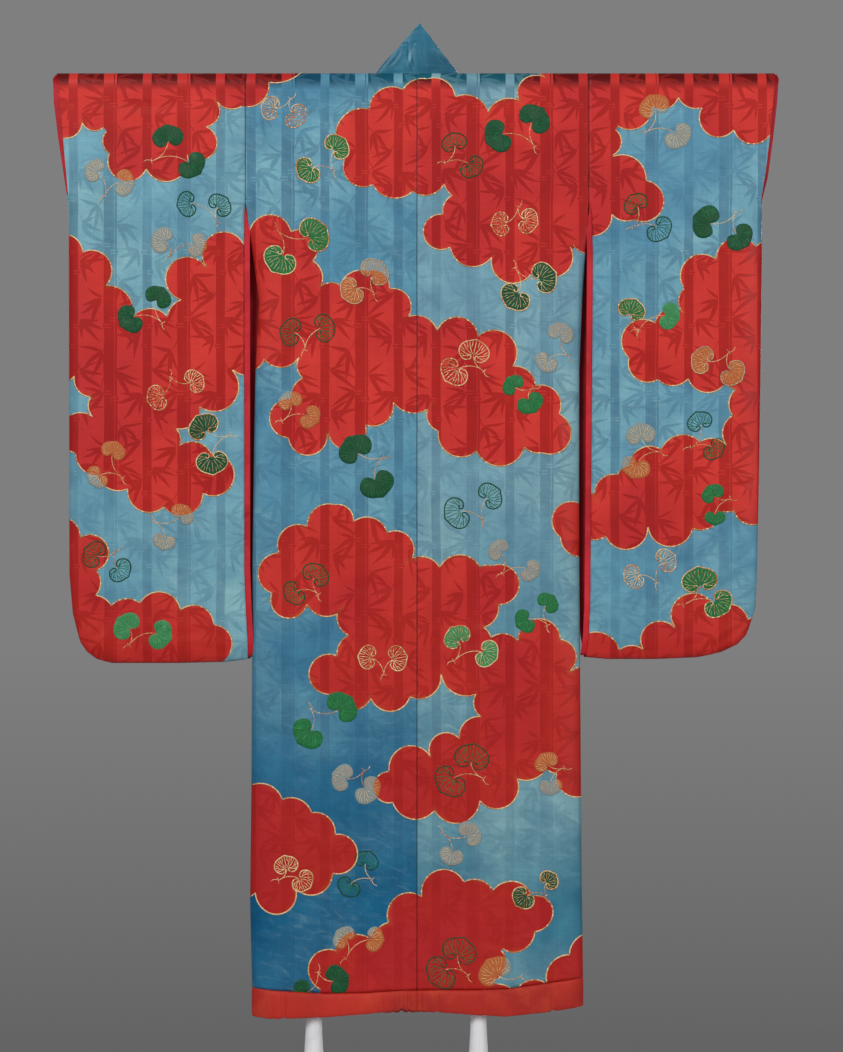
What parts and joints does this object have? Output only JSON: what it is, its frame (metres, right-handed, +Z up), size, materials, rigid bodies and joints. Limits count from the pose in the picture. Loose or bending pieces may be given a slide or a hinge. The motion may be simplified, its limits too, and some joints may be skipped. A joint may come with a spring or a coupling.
{
  "type": "furisode on a two-post display stand",
  "caption": "Long-sleeved kimono of patterned silk hung flat over a horizontal rod on two posts, back outward, with deep hanging sleeves, raised collar and padded hem.",
  "frame": {"origin": "on the floor under the middle of the stand's feet and of the sleeve span, which is under the centre-back seam", "axes": "+Z up; the back of the garment faces -Y; the wearer's left is at -X"},
  "size_m": [1.269, 0.44, 1.938],
  "materials": {
    "silk_damask": "soft satin figured silk, red and blue grounds with couched gold",
    "collar_silk": "soft satin plain silk",
    "lining_silk": "plain silk",
    "hem_silk": "padded plain silk",
    "stand_paint": "satin pale grey paint"
  },
  "bodies": {
    "root": {"body_back_left": "silk_damask", "body_front_left": "silk_damask", "body_side_left": "silk_damask", "body_shoulder_left": "silk_damask", "body_back_right": "silk_damask", "body_front_right": "silk_damask", "body_side_right": "silk_damask", "body_shoulder_right": "silk_damask", "overlap_left": "silk_damask", "overlap_right": "silk_damask", "sleeve_back_left": "silk_damask", "sleeve_front_left": "silk_damask", "sleeve_edge_left": "silk_damask", "sleeve_foot_left": "silk_damask", "sleeve_shoulder_left": "silk_damask", "sleeve_back_right": "silk_damask", "sleeve_front_right": "silk_damask", "sleeve_edge_right": "silk_damask", "sleeve_foot_right": "silk_damask", "sleeve_shoulder_right": "silk_damask", "collar_left": "collar_silk", "collar_right": "collar_silk", "lining_opening_left": "lining_silk", "lining_opening_right": "lining_silk", "lining_cuff_left": "lining_silk", "lining_cuff_right": "lining_silk", "hem_back_left": "hem_silk", "hem_back_right": "hem_silk", "hem_front_left": "hem_silk", "hem_front_right": "hem_silk", "hem_overlap_left": "hem_silk", "hem_overlap_right": "hem_silk", "stand_rod": "stand_paint", "stand_post_left": "stand_paint", "stand_post_right": "stand_paint", "stand_base_left": "stand_paint", "stand_base_right": "stand_paint", "stand_foot_left": "stand_paint", "stand_foot_right": "stand_paint"}
  },
  "joints": []
}
